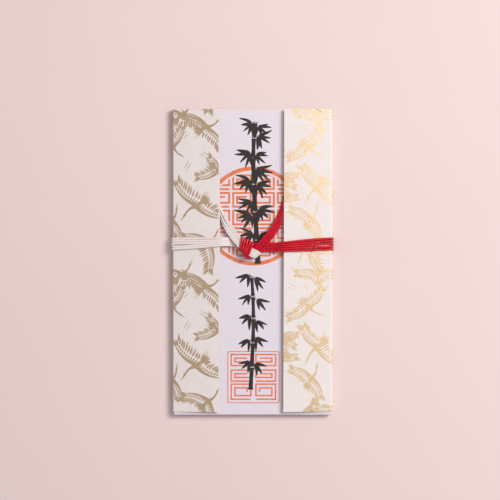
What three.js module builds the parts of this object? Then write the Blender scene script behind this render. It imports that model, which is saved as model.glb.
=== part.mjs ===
// A paper talisman packet held in a folded washi wrapper by a tied band of five paper cords.
// Millimetres. The packet lies on its back: +X to the right, +Y to its top edge, +Z out of its front.
// The origin is the middle of the outline, level with the lowest face, the tape at the back.
import * as THREE from 'three';

// Clearances.
const cordGap = 0.06;
const sheetGap = 0.05;
const slideGap = 0.1;

// Driving sizes of the packet, the plain paper pocket.
const packetWidth = 93.4;
const packetHeight = 181.7;
const packetPaper = 0.18;
const packetPeek = 1.9;
const seamOverlap = 14;
const bottomFlapHeight = 19;

// Driving sizes of the wrapper, the washi sheet that is folded round the packet and fits its width.
const wrapperHeight = 180.4;
const wrapperPaper = 0.3;
const foldPaper = 0.3;
const foldBulge = 0.4;
const foldSteps = 8;
const leftFlapReach = 27.4;
const rightFlapReachTop = 27.9;
const rightFlapReachBottom = 28.5;
const flapLift = 2;
const wrapperWidth = packetWidth + 2 * (slideGap + foldPaper + foldBulge);

// Driving sizes of the talisman in the pocket.
const boardWidth = 62;
const boardHeight = 150;
const boardThickness = 0.8;
const wrapPaper = 0.1;
const wrapOverhang = 1.5;

// Driving sizes of the cords and of the tape that joins them at the back.
const strandCount = 5;
const cordDiameter = 0.96;
const cordSides = 8;
const ringsPerStation = 2;
const backPitch = 1.05;
const leftEdgePitch = 1.5;
const rightEdgePitch = 1.6;
const bandHeightAboveMiddle = 10.7;
const dyeJoint = 0.3;
const tapeLength = 24;
const tapeHeight = 9;
const tapePaper = 0.12;

// Heights of the stack, from the tape's outer face up to the front of the packet.
const cordRadius = cordDiameter / 2;
const backCordZ = tapePaper + cordGap + cordRadius;
const tapeTopZ = backCordZ + cordRadius + cordGap + tapePaper;
const wrapperBackZ = tapeTopZ + cordGap;
const bottomFlapZ = wrapperBackZ + wrapperPaper + slideGap;
const backRightZ = bottomFlapZ + packetPaper + sheetGap;
const backLeftZ = backRightZ + packetPaper + sheetGap;
const talismanZ = backLeftZ + packetPaper + slideGap;
const boardZ = talismanZ + wrapPaper + sheetGap;
const talismanThickness = boardThickness + 2 * (wrapPaper + sheetGap);
const packetFrontZ = talismanZ + talismanThickness + slideGap;
const stripZ = packetFrontZ + packetPaper;
const flapRootZ = stripZ + slideGap;
const wrapperThickness = flapRootZ + wrapperPaper - wrapperBackZ;
const packetThickness = stripZ - bottomFlapZ;

// Places along the length.
const outlineHeight = wrapperHeight + packetPeek;
const wrapperTopY = outlineHeight / 2;
const wrapperBottomY = wrapperTopY - wrapperHeight;
const packetBottomY = -outlineHeight / 2;
const packetTopY = packetBottomY + packetHeight;

// Places across the width.
const foldInnerX = wrapperWidth / 2 - foldPaper - foldBulge;
const flapRootX = foldInnerX - sheetGap;
const flapSlope = Math.asin(flapLift / leftFlapReach);
const packetEdgeX = packetWidth / 2;

const colours = {
  washi: { color: '#efe3da', roughness: 0.82, metalness: 0 },
  plainPaper: { color: '#e6dbe2', roughness: 0.7, metalness: 0 },
  wood: { color: '#d9b98c', roughness: 0.65, metalness: 0 },
  whiteCord: { color: '#ece2dd', roughness: 0.45, metalness: 0 },
  redCord: { color: '#c3172a', roughness: 0.4, metalness: 0 },
  tape: { color: '#e9e3da', roughness: 0.85, metalness: 0 },
};

function named(name, geometry, colour) {
  const mesh = new THREE.Mesh(geometry, new THREE.MeshStandardMaterial(colours[colour]));
  mesh.name = name;
  return mesh;
}

// A flat sheet between two corners in the plane, its underside at height z.
function sheet(name, colour, lowX, highX, lowY, highY, z, thickness) {
  const mesh = named(name, new THREE.BoxGeometry(highX - lowX, highY - lowY, thickness), colour);
  mesh.position.set((lowX + highX) / 2, (lowY + highY) / 2, z + thickness / 2);
  return mesh;
}

// The wall where a sheet turns over an edge: flat inside, rounded outside, along the whole edge.
function foldWall(name, colour, innerX, bulge, paper, lowY, highY, lowZ, thickness) {
  const points = [new THREE.Vector2(0, 0)];
  for (let step = 0; step <= foldSteps; step += 1) {
    const share = step / foldSteps;
    points.push(new THREE.Vector2(paper + bulge * Math.sin(Math.PI * share), thickness * share));
  }
  points.push(new THREE.Vector2(0, thickness));
  const geometry = new THREE.ExtrudeGeometry(new THREE.Shape(points), { depth: highY - lowY, bevelEnabled: false });
  geometry.rotateX(Math.PI / 2);
  const mesh = named(name, geometry, colour);
  if (innerX < 0) {
    mesh.rotation.z = Math.PI;
    mesh.position.set(innerX, lowY, lowZ);
  } else {
    mesh.position.set(innerX, highY, lowZ);
  }
  return mesh;
}

// A front flap: a flat leaf that rises from its fold to its free edge, over the tucked cord ends.
function flap(name, side, reachTop, reachBottom) {
  const outline = new THREE.Shape([
    new THREE.Vector2(0, wrapperBottomY),
    new THREE.Vector2(0, wrapperTopY),
    new THREE.Vector2(-side * reachTop, wrapperTopY),
    new THREE.Vector2(-side * reachBottom, wrapperBottomY),
  ]);
  const mesh = named(name, new THREE.ExtrudeGeometry(outline, { depth: wrapperPaper, bevelEnabled: false }), 'washi');
  mesh.rotation.y = side * flapSlope;
  mesh.position.set(side * flapRootX, 0, flapRootZ);
  return mesh;
}

function makeWrapper() {
  const wrapper = new THREE.Group();
  wrapper.add(
    sheet('wrapper_back', 'washi', -flapRootX, flapRootX, wrapperBottomY, wrapperTopY, wrapperBackZ, wrapperPaper),
    foldWall('wrapper_left_fold', 'washi', -foldInnerX, foldBulge, foldPaper, wrapperBottomY, wrapperTopY,
      wrapperBackZ, wrapperThickness),
    foldWall('wrapper_right_fold', 'washi', foldInnerX, foldBulge, foldPaper, wrapperBottomY, wrapperTopY,
      wrapperBackZ, wrapperThickness),
    flap('wrapper_left_flap', -1, leftFlapReach, leftFlapReach),
    flap('wrapper_right_flap', 1, rightFlapReachTop, rightFlapReachBottom),
  );
  return wrapper;
}

function makePacket() {
  const packet = new THREE.Group();
  const panelX = packetEdgeX - packetPaper - sheetGap;
  const footY = packetBottomY + packetPaper + sheetGap;
  const backThickness = packetFrontZ - sheetGap - backRightZ;
  packet.add(
    sheet('packet_front', 'plainPaper', -packetEdgeX, packetEdgeX, footY, packetTopY, packetFrontZ, packetPaper),
    sheet('packet_back_left', 'plainPaper', -panelX, seamOverlap / 2, footY, packetTopY, backLeftZ, packetPaper),
    sheet('packet_back_right', 'plainPaper', -seamOverlap / 2, panelX, footY, packetTopY, backRightZ, packetPaper),
    sheet('packet_left_fold', 'plainPaper', -packetEdgeX, -packetEdgeX + packetPaper, footY, packetTopY,
      backRightZ, backThickness),
    sheet('packet_right_fold', 'plainPaper', packetEdgeX - packetPaper, packetEdgeX, footY, packetTopY,
      backRightZ, backThickness),
    sheet('packet_bottom_fold', 'plainPaper', -packetEdgeX, packetEdgeX, packetBottomY, packetBottomY + packetPaper,
      bottomFlapZ, packetThickness),
    sheet('packet_bottom_flap', 'plainPaper', -panelX, panelX, footY, footY + bottomFlapHeight, bottomFlapZ,
      packetPaper),
  );
  return packet;
}

// The slip in its open-ended paper sleeve.
function makeTalisman() {
  const talisman = new THREE.Group();
  const lowY = packetBottomY + packetPaper + slideGap + wrapOverhang;
  const halfBoard = boardWidth / 2;
  const board = sheet('talisman_board', 'wood', -halfBoard, halfBoard, lowY, lowY + boardHeight, boardZ, boardThickness);
  const innerX = halfBoard + sheetGap;
  const outerX = innerX + wrapPaper;
  const outline = new THREE.Shape([
    new THREE.Vector2(-outerX, 0),
    new THREE.Vector2(outerX, 0),
    new THREE.Vector2(outerX, talismanThickness),
    new THREE.Vector2(-outerX, talismanThickness),
  ]);
  outline.holes.push(new THREE.Path([
    new THREE.Vector2(-innerX, wrapPaper),
    new THREE.Vector2(-innerX, talismanThickness - wrapPaper),
    new THREE.Vector2(innerX, talismanThickness - wrapPaper),
    new THREE.Vector2(innerX, wrapPaper),
  ]));
  const sleeve = new THREE.ExtrudeGeometry(outline, { depth: boardHeight + 2 * wrapOverhang, bevelEnabled: false });
  sleeve.rotateX(Math.PI / 2);
  const wrap = named('talisman_wrap', sleeve, 'plainPaper');
  wrap.position.set(0, lowY + boardHeight + wrapOverhang, talismanZ);
  talisman.add(board, wrap);
  return talisman;
}

// The paper tape that goes once round the joined cords at the back, as a flat sleeve along X.
function makeTape() {
  const halfTape = tapeHeight / 2;
  const outline = new THREE.Shape([
    new THREE.Vector2(-halfTape, 0),
    new THREE.Vector2(halfTape, 0),
    new THREE.Vector2(halfTape, tapeTopZ),
    new THREE.Vector2(-halfTape, tapeTopZ),
  ]);
  outline.holes.push(new THREE.Path([
    new THREE.Vector2(-halfTape + tapePaper, tapePaper),
    new THREE.Vector2(-halfTape + tapePaper, tapeTopZ - tapePaper),
    new THREE.Vector2(halfTape - tapePaper, tapeTopZ - tapePaper),
    new THREE.Vector2(halfTape - tapePaper, tapePaper),
  ]));
  const geometry = new THREE.ExtrudeGeometry(outline, { depth: tapeLength, bevelEnabled: false });
  geometry.rotateX(Math.PI / 2);
  geometry.rotateZ(Math.PI / 2);
  const tape = named('mizuhiki_back_tape', geometry, 'tape');
  tape.position.set(-tapeLength / 2, bandHeightAboveMiddle, 0);
  return tape;
}

// A strand's line, with its rings shared out evenly between the stations, so that bends get most.
class StrandLine extends THREE.CatmullRomCurve3 {
  getPointAt(share, target) {
    return this.getPoint(share, target);
  }

  getTangentAt(share, target) {
    return this.getTangent(share, target);
  }

  getSpacedPoints(count) {
    return this.getPoints(count);
  }
}

// Height of a cord's line where it lies on a flap.
function onFlapZ(x) {
  const rise = (flapRootX - Math.abs(x)) * Math.tan(flapSlope);
  return flapRootZ + wrapperPaper / Math.cos(flapSlope) + rise + cordRadius + slideGap;
}

// The five cords run side by side as a ribbon. Each station gives the ribbon's middle, the step
// from one cord to the next, and how far the second and fourth cords are lifted over the others.
function station(x, y, z, stepX, stepY, lift = 0) {
  return { middle: new THREE.Vector3(x, y, z), step: new THREE.Vector3(stepX, stepY, 0), lift };
}

// From the joint at the back, round the wrapper's edge and onto its flap.
function roundTheEdge(side, edgePitch) {
  const y = bandHeightAboveMiddle;
  const turnX = wrapperWidth / 2 + cordGap + cordRadius;
  const middleZ = wrapperBackZ + wrapperThickness / 2;
  const halfTurn = middleZ - backCordZ;
  const frontX = foldInnerX - cordRadius;
  const frontEdgeZ = wrapperBackZ + wrapperThickness;
  return [
    station(side * dyeJoint / 2, y, backCordZ, 0, backPitch),
    station(side * (tapeLength / 2 + cordDiameter), y, backCordZ, 0, backPitch),
    station(side * (turnX - 2 * halfTurn), y, backCordZ, 0, edgePitch),
    station(side * (turnX - cordDiameter), y, backCordZ + cordGap, 0, edgePitch),
    station(side * (turnX - cordRadius / 3), y, middleZ - halfTurn / 2, 0, edgePitch),
    station(side * turnX, y, middleZ, 0, edgePitch),
    station(side * (turnX - cordRadius / 3), y, middleZ + halfTurn / 2, 0, edgePitch),
    station(side * (turnX - cordRadius), y, frontEdgeZ + cordRadius - 2 * cordGap, 0, edgePitch),
    station(side * frontX, y, onFlapZ(frontX), 0, edgePitch),
  ];
}

// The white half: along the left flap, under the knot, back over the red and up to the left.
function whiteRibbon() {
  return [
    ...roundTheEdge(-1, leftEdgePitch),
    station(-31.3, 11.3, onFlapZ(31.3), 0, 1.28),
    station(-20.6, 11.9, onFlapZ(20.6), 0, 1.1),
    station(-17.6, 12, stripZ + 2.65, 0, 1.08),
    station(-12.8, 11.9, stripZ + 1.45, 0.06, 1.05),
    station(-8.6, 11.3, stripZ + 0.7, 0.3, 1),
    station(-4.5, 9.4, stripZ + 0.56, 0.5, 0.9),
    station(-0.6, 6.6, stripZ + 0.56, 0.6, 0.85),
    station(2, 4.6, stripZ + 0.56, 0.58, 0.87),
    station(3.2, 3.75, stripZ + 0.72, 0.55, 0.88),
    station(4.05, 3.1, stripZ + 1.25, 0.54, 0.89),
    station(4.4, 2.85, stripZ + 2.16, 0.53, 0.89),
    station(4.05, 3.1, stripZ + 3.08, 0.54, 0.89),
    station(3.2, 3.65, stripZ + 3.62, 0.56, 0.87),
    station(1.8, 4.4, stripZ + 3.76, 0.58, 0.85),
    station(-1.5, 6.2, stripZ + 3.77, 0.64, 0.8),
    station(-4.4, 8.5, stripZ + 3.77, 0.7, 0.74),
    station(-7.2, 11.1, stripZ + 3.68, 0.76, 0.68),
    station(-10.6, 15, stripZ + 3.1, 0.83, 0.6),
    station(-14.3, 20.4, stripZ + 2, 0.84, 0.52, 0.2),
    station(-16.9, 25, stripZ + 1.05, 0.72, 0.38, 0.64),
    station(-18.9, 29.5, stripZ + 0.55, 0.52, 0.24, 0.86),
    station(-20.3, 33, stripZ + 0.53, 0.48, 0.18, 0.9),
    station(-21.4, 36.2, stripZ + 0.53, 0.48, 0.18, 0.9),
  ];
}

// The red half: along the right flap into the knot, over its top edge, down the front as the
// visible wrap, back under the white and up to the right.
function redRibbon() {
  return [
    ...roundTheEdge(1, rightEdgePitch),
    station(32, 9.9, onFlapZ(32), 0, 1.45),
    station(18.4, 9.05, onFlapZ(18.4), 0, 1.22),
    station(16.1, 8.9, stripZ + 2.6, 0, 1.18),
    station(12.4, 8.75, stripZ + 1.75, 0, 1.15),
    station(8, 8.6, stripZ + 1.6, 0, 1.1),
    station(4.6, 8.6, stripZ + 1.64, 0.15, 1.08),
    station(1.5, 8.8, stripZ + 1.65, 0.8, 1.07),
    station(-1.6, 9.4, stripZ + 1.65, 1.5, 0.75),
    station(-2.95, 11.45, stripZ + 1.82, 1.7, -0.15),
    station(-3.05, 12.6, stripZ + 2.5, 1.56, -0.48),
    station(-3.1, 13.15, stripZ + 3.35, 1.52, -0.68),
    station(-3.1, 12.85, stripZ + 4.3, 1.52, -0.68),
    station(-3.2, 11.8, stripZ + 4.8, 1.5, -0.62),
    station(-4.1, 8.6, stripZ + 4.85, 1.35, -0.5),
    station(-5.3, 5.5, stripZ + 4.82, 1.1, -1.3),
    station(-5.98, 4.72, stripZ + 4.48, 1.1, -1.42),
    station(-6.25, 4.48, stripZ + 3.76, 1.1, -1.45),
    station(-5.98, 4.66, stripZ + 3.04, 1.08, -1.43),
    station(-5.25, 5.02, stripZ + 2.7, 1, -1.4),
    station(-1.6, 5.2, stripZ + 2.69, 0.35, -1.1),
    station(1.6, 6.6, stripZ + 2.72, 0.7, -0.85),
    station(5, 9.8, stripZ + 2.85, 0.78, -0.7),
    station(8.6, 13.8, stripZ + 3.1, 0.8, -0.68),
    station(12.5, 18.9, stripZ + 2.7, 0.85, -0.56),
    station(15.6, 24.3, stripZ + 1.7, 0.82, -0.42, 0.5),
    station(17.5, 29.6, stripZ + 0.7, 0.62, -0.2, 0.8),
    station(18.6, 34.6, stripZ + 0.53, 0.5, -0.11, 0.9),
    station(19.5, 39.5, stripZ + 0.53, 0.5, -0.09, 0.9),
  ];
}

function strand(name, colour, ribbon, index) {
  const fromMiddle = index - (strandCount - 1) / 2;
  const line = new StrandLine(ribbon.map(({ middle, step, lift }) => {
    const place = middle.clone().addScaledVector(step, fromMiddle);
    place.z += index % 2 === 1 ? lift : 0;
    return place;
  }));
  const section = [];
  for (let side = 0; side < cordSides; side += 1) {
    const angle = (2 * Math.PI * side) / cordSides;
    section.push(new THREE.Vector2(cordRadius * Math.cos(angle), cordRadius * Math.sin(angle)));
  }
  const geometry = new THREE.ExtrudeGeometry(new THREE.Shape(section), {
    steps: (ribbon.length - 1) * ringsPerStation,
    bevelEnabled: false,
    extrudePath: line,
  });
  return named(name, geometry, colour);
}

function makeMizuhiki() {
  const band = new THREE.Group();
  const white = whiteRibbon();
  const red = redRibbon();
  for (let index = 0; index < strandCount; index += 1) {
    band.add(
      strand(`white_strand_${index + 1}`, 'whiteCord', white, index),
      strand(`red_strand_${index + 1}`, 'redCord', red, index),
    );
  }
  band.add(makeTape());
  return band;
}

const talismanPacket = new THREE.Group();
talismanPacket.add(makeWrapper(), makePacket(), makeTalisman(), makeMizuhiki());
export default talismanPacket;
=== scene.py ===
import math
import random

import bmesh
import bpy
from mathutils import Matrix, Vector, noise


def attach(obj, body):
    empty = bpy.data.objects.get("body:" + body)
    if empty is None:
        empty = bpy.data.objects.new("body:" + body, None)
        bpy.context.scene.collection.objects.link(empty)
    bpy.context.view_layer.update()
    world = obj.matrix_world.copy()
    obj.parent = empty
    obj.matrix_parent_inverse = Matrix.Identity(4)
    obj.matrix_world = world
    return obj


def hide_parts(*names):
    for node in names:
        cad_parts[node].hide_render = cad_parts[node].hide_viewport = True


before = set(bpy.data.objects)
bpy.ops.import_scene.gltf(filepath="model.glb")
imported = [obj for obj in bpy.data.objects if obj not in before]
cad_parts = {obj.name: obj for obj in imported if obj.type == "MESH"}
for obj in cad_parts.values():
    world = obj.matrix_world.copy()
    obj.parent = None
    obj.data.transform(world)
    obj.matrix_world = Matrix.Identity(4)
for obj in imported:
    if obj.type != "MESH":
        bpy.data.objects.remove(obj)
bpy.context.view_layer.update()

# The table top under the packet: a plain matte board in a pale dusty pink, with a faint tooth. It
# is lit by a window-like panel at the right and by a lesser one nearly overhead, which the gold on
# the right flap mirrors. The pale room around fills the shadows.
MM = 0.001
TABLE_REACH = 3
SHARP_DEGREES = 35


def colour(red, green, blue):
    """A colour as a swatch book gives it, from 0 to 255, for a shader's socket."""
    shares = (red / 255, green / 255, blue / 255)
    return tuple(s / 12.92 if s <= 0.04045 else ((s + 0.055) / 1.055) ** 2.4 for s in shares) + (1,)


def feed(tree, made, inputs):
    """Sets a node's inputs to values, or links them to the sockets that feed them."""
    for key, value in inputs.items():
        if isinstance(value, bpy.types.NodeSocket):
            tree.links.new(value, made.inputs[key])
        else:
            made.inputs[key].default_value = value


def node(tree, kind, inputs, **settings):
    """A new node with its settings and inputs."""
    made = tree.nodes.new(kind)
    for key, value in settings.items():
        setattr(made, key, value)
    feed(tree, made, inputs)
    return made


def place_on(tree):
    """The place on the object, in metres, which a pattern follows."""
    return node(tree, "ShaderNodeTexCoord", {}).outputs["Object"]


def clouds(tree, place, scale, detail, distortion=0):
    """A cloudy mask from 0 to 1."""
    return node(tree, "ShaderNodeTexNoise", {"Vector": place, "Scale": scale, "Detail": detail,
                                             "Distortion": distortion}).outputs["Fac"]


def ranged(tree, mask, source=(0, 1), target=(0, 1), **settings):
    """A mask carried over from one range of values to another."""
    return node(tree, "ShaderNodeMapRange", {"Value": mask, "From Min": source[0],
                                             "From Max": source[1], "To Min": target[0],
                                             "To Max": target[1]}, **settings).outputs[0]


def mixed(tree, mask, first, second):
    """The first colour where the mask is 0, and the second where it is 1."""
    return node(tree, "ShaderNodeMix", {"Factor": mask, "A": first, "B": second},
                data_type="RGBA").outputs["Result"]


def relief(tree, height, strength, depth):
    """The normals that a fine relief gives, its depth in millimetres."""
    return node(tree, "ShaderNodeBump", {"Strength": strength, "Distance": depth * MM,
                                         "Height": height}).outputs["Normal"]


def finish_named(name):
    """A new material with its tree and its shader."""
    material = bpy.data.materials.new(name)
    material.use_nodes = True
    return material, material.node_tree, material.node_tree.nodes["Principled BSDF"]


def piece(name, bm, material, thickness=0):
    """The finished mesh of a bmesh as an object of its own, at the origin. A sheet is drawn as its
    outer face and gets its thickness, in millimetres, on the inside."""
    if thickness:
        bm.normal_update()
        bmesh.ops.solidify(bm, geom=[*bm.verts, *bm.edges, *bm.faces], thickness=thickness * MM)
    mesh = bpy.data.meshes.new(name)
    bm.to_mesh(mesh)
    bm.free()
    mesh.materials.append(material)
    mesh.shade_smooth()
    mesh.set_sharp_from_angle(angle=math.radians(SHARP_DEGREES))
    made = bpy.data.objects.new(name, mesh)
    bpy.context.scene.collection.objects.link(made)
    return made


table_pink, tree, shader = finish_named("pink_table")
spot = place_on(tree)
mottle = clouds(tree, spot, scale=9, detail=3)
tooth = clouds(tree, spot, scale=2600, detail=2)
feed(tree, shader, {
    "Base Color": mixed(tree, mottle, colour(236, 215, 210), colour(241, 221, 216)),
    "Roughness": 0.75, "Normal": relief(tree, tooth, strength=0.12, depth=0.2)})
bm = bmesh.new()
bmesh.ops.create_grid(bm, x_segments=1, y_segments=1, size=TABLE_REACH)
piece("table_top", bm, table_pink)

bpy.context.scene.view_settings.view_transform = "Standard"
world = bpy.context.scene.world or bpy.data.worlds.new("room")
bpy.context.scene.world = world
world.use_nodes = True
feed(world.node_tree, world.node_tree.nodes["Background"], {
    "Color": colour(247, 240, 248), "Strength": 0.43})


def lamp(name, place, aim, side, power, tint):
    """A square soft panel of light, in metres and watts."""
    light = bpy.data.lights.new(name, "AREA")
    light.size, light.energy, light.color = side, power, tint
    made = bpy.data.objects.new(name, light)
    made.location = place
    made.rotation_euler = (Vector(aim) - Vector(place)).to_track_quat("-Z", "Y").to_euler()
    made.visible_camera = False
    bpy.context.scene.collection.objects.link(made)


lamp("window", place=(1.05, 0.64, 1.15), aim=(0, 0.02, 0), side=0.7, power=21.3,
     tint=(1, 0.985, 0.965))
lamp("overhead", place=(0.74, 0.22, 1.7), aim=(0.1, 0.1, 0), side=0.83, power=3.1,
     tint=(1, 0.99, 0.97))

# The camera looks straight down on the packet from 1.5 m, as the photograph does, with the packet
# a little left of and below the middle of the frame, which is 298 mm wide at the packet's front.
CAMERA_PLACE = (-0.00149, 0.00712, 1.5)
FRONT_HEIGHT, FRAME_WIDTH = 0.0039, 0.298
SENSOR_WIDTH, FARTHEST_VIEW = 36, 20
view = bpy.data.cameras.new("camera")
view.sensor_width = SENSOR_WIDTH
view.lens = SENSOR_WIDTH * (CAMERA_PLACE[2] - FRONT_HEIGHT) / FRAME_WIDTH
view.clip_end = FARTHEST_VIEW
camera = bpy.data.objects.new("camera", view)
camera.location = CAMERA_PLACE
bpy.context.scene.collection.objects.link(camera)
bpy.context.scene.camera = camera

# The band of five paper cords, each dyed half white and half red: twisted paper, starched and
# polished. They are held all the way: by the tape at the back, round the folds, in the knot and
# under the flaps. From here on sizes are in millimetres.
STRAND_COUNT, CORD_RADIUS, NARROWEST_CORD = 5, 0.48, 0.88
CORD_SIDES, CORD_STEPS = 14, 5
CORD_SWAY, SWAY_PACE, SWAY_APART = 0.2, 0.7, 3.1
JOINT_X, TAPED_END_X, BACK_RUN_Y, BACK_RUN_Z, BACK_PITCH = 0.15, 12.96, 10.7, 0.66, 1.05
WRAPPER_EDGE_X, WRAPPER_BACK_Z, WRAPPER_THICKNESS = 47.5, 1.38, 2.92
FLAP_ROOT_X, FLAP_ROOT_Z, FLAP_CREST_X, FLAP_PAPER = 46.75, 4.0, 46.8, 0.3
FLAP_RISE, FLAP_WIDTH = 2, 27.4
FLAP_SLOPE = math.asin(FLAP_RISE / FLAP_WIDTH)
FOLD_GAP, FLAP_GAP = 0.06, 0.1
STRIP_Z = 3.9


def on_flap(x):
    """The height of a cord's line over a flap, at a distance from the packet's middle."""
    rise = (FLAP_ROOT_X - abs(x)) * math.tan(FLAP_SLOPE)
    return FLAP_ROOT_Z + FLAP_PAPER / math.cos(FLAP_SLOPE) + rise + CORD_RADIUS + FLAP_GAP


def round_the_fold(side, pitch):
    """From the joint at the back, round the wrapper's side fold and onto its flap."""
    turn_x = WRAPPER_EDGE_X + FOLD_GAP + CORD_RADIUS
    middle_z = WRAPPER_BACK_Z + WRAPPER_THICKNESS / 2
    half_turn = middle_z - BACK_RUN_Z
    crest_x = FLAP_CREST_X - CORD_RADIUS
    front_z = WRAPPER_BACK_Z + WRAPPER_THICKNESS + CORD_RADIUS - 2 * FOLD_GAP
    rows = (
        (JOINT_X, BACK_RUN_Z, BACK_PITCH),
        (TAPED_END_X, BACK_RUN_Z, BACK_PITCH),
        (turn_x - 2 * half_turn, BACK_RUN_Z, pitch),
        (turn_x - 2 * CORD_RADIUS, BACK_RUN_Z + FOLD_GAP, pitch),
        (turn_x - CORD_RADIUS / 3, middle_z - half_turn / 2, pitch),
        (turn_x, middle_z, pitch),
        (turn_x - CORD_RADIUS / 3, middle_z + half_turn / 2, pitch),
        (turn_x - CORD_RADIUS, front_z, pitch),
        (crest_x, on_flap(crest_x), pitch),
    )
    return [(side * x, BACK_RUN_Y, z, 0, step_y) for x, z, step_y in rows]


def over_strip(*rows):
    """Stations whose heights are given over the packet's front."""
    return [(x, y, STRIP_Z + z, step_x, step_y, *lift) for x, y, z, step_x, step_y, *lift in rows]


# A station gives the place of the ribbon's middle, the step from cord to cord in x and y, and the
# lift of the second and fourth cords where the ribbon narrows.
WHITE_RIBBON = [
    *round_the_fold(-1, pitch=1.5),
    (-31.3, 11.3, on_flap(31.3), 0, 1.28),
    (-20.6, 11.9, on_flap(20.6), 0, 1.1),
    *over_strip(
        (-17.6, 12, 2.65, 0, 1.08), (-12.8, 11.9, 1.45, 0.06, 1.05), (-8.6, 11.3, 0.7, 0.3, 1),
        (-4.5, 9.4, 0.56, 0.5, 0.9), (-0.6, 6.6, 0.56, 0.6, 0.85), (1.4, 4.95, 0.56, 0.62, 0.8),
        (2.3, 4.35, 0.72, 0.68, 0.68), (2.95, 3.85, 1.25, 0.72, 0.6), (3.2, 3.7, 2.16, 0.73, 0.58),
        (2.95, 3.85, 3.08, 0.72, 0.6), (2.3, 4.3, 3.62, 0.68, 0.68), (1.2, 4.85, 3.76, 0.62, 0.8),
        (-1.5, 6.2, 3.77, 0.64, 0.8), (-4.4, 8.5, 3.77, 0.7, 0.74), (-7.2, 11.1, 3.68, 0.76, 0.68),
        (-10.6, 15, 3.1, 0.83, 0.6), (-14.3, 20.4, 2, 0.84, 0.52, 0.2),
        (-16.9, 25, 1.05, 0.72, 0.38, 0.64), (-18.9, 29.5, 0.55, 0.52, 0.24, 0.86),
        (-20.3, 33, 0.53, 0.48, 0.18, 0.9), (-21.4, 36.2, 0.53, 0.48, 0.18, 0.9),
    ),
]
RED_RIBBON = [
    *round_the_fold(1, pitch=1.6),
    (32, 9.9, on_flap(32), 0, 1.45),
    (18.4, 9.05, on_flap(18.4), 0, 1.22),
    *over_strip(
        (16.1, 8.9, 2.6, 0, 1.18), (12.4, 8.75, 1.75, 0, 1.15), (8, 8.6, 1.6, 0, 1.1),
        (4.6, 8.6, 1.64, 0.15, 1.08), (1.5, 8.8, 1.65, 0.8, 1.07), (-1.6, 9.4, 1.65, 1.5, 0.75),
        (-2.95, 11.45, 1.82, 1.7, -0.15), (-3.05, 12.6, 2.5, 1.56, -0.48),
        (-3.1, 13.15, 3.35, 1.52, -0.68), (-3.1, 12.85, 4.3, 1.52, -0.68),
        (-3.2, 11.8, 4.8, 1.5, -0.62), (-4, 8.7, 4.85, 1.35, -0.5),
        (-4.95, 5.95, 4.82, 1.02, -1.25), (-5.5, 5.25, 4.48, 1, -1.34),
        (-5.75, 5.05, 3.76, 1, -1.36), (-5.55, 5.15, 3.04, 1, -1.35), (-4.9, 5.3, 2.7, 0.95, -1.34),
        (-1.6, 5.2, 2.69, 0.35, -1.1), (1.6, 6.6, 2.72, 0.7, -0.85), (5, 9.8, 2.85, 0.78, -0.7),
        (8.6, 13.8, 3.1, 0.8, -0.68), (12.5, 18.9, 2.7, 0.85, -0.56),
        (15.6, 24.3, 1.7, 0.82, -0.42, 0.5), (17.5, 29.6, 0.7, 0.62, -0.2, 0.8),
        (18.6, 34.6, 0.53, 0.5, -0.11, 0.9), (19.5, 39.5, 0.53, 0.5, -0.09, 0.9),
    ),
]


def slopes(before, start, end, after):
    """How an even curve leaves start and comes in to end, with the points before and after them."""
    gaps = [(b - a).length ** 0.5 for a, b in ((before, start), (start, end), (end, after))]
    leave = ((start - before) / gaps[0] - (end - before) / (gaps[0] + gaps[1])
             + (end - start) / gaps[1]) * gaps[1]
    arrive = ((end - start) / gaps[1] - (after - start) / (gaps[1] + gaps[2])
              + (after - end) / gaps[2]) * gaps[1]
    return leave, arrive


def strand_points(ribbon, index):
    """The line of one cord: an even curve through its stations, closest where these are close. The
    step to its neighbour comes with each point. A cord sways a little, each in its own way."""
    across = index - (STRAND_COUNT - 1) / 2
    stops = []
    for number, (x, y, z, step_x, step_y, *lift) in enumerate(ribbon):
        wave = Vector((number * SWAY_PACE, index * SWAY_APART, ribbon[0][0]))
        sway = CORD_SWAY * noise.noise(wave)
        place = Vector((x, y, z)) + Vector((step_x, step_y, 0)) * (across + sway)
        place.z += lift[0] if lift and index % 2 == 1 else 0
        stops.append((place, Vector((step_x, step_y, 0))))
    stops = [(2 * stops[0][0] - stops[1][0], stops[0][1]), *stops,
             (2 * stops[-1][0] - stops[-2][0], stops[-1][1])]
    points = []
    for (before, _), (start, step_a), (end, step_b), (after, _) in zip(stops, stops[1:], stops[2:],
                                                                       stops[3:]):
        leave, arrive = slopes(before, start, end, after)
        for step in range(CORD_STEPS):
            t = step / CORD_STEPS
            place = (start * (2 * t ** 3 - 3 * t ** 2 + 1) + leave * (t ** 3 - 2 * t ** 2 + t)
                     + end * (3 * t ** 2 - 2 * t ** 3) + arrive * (t ** 3 - t ** 2))
            points.append((place, step_a.lerp(step_b, t)))
    return points + [stops[-2]]


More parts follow.
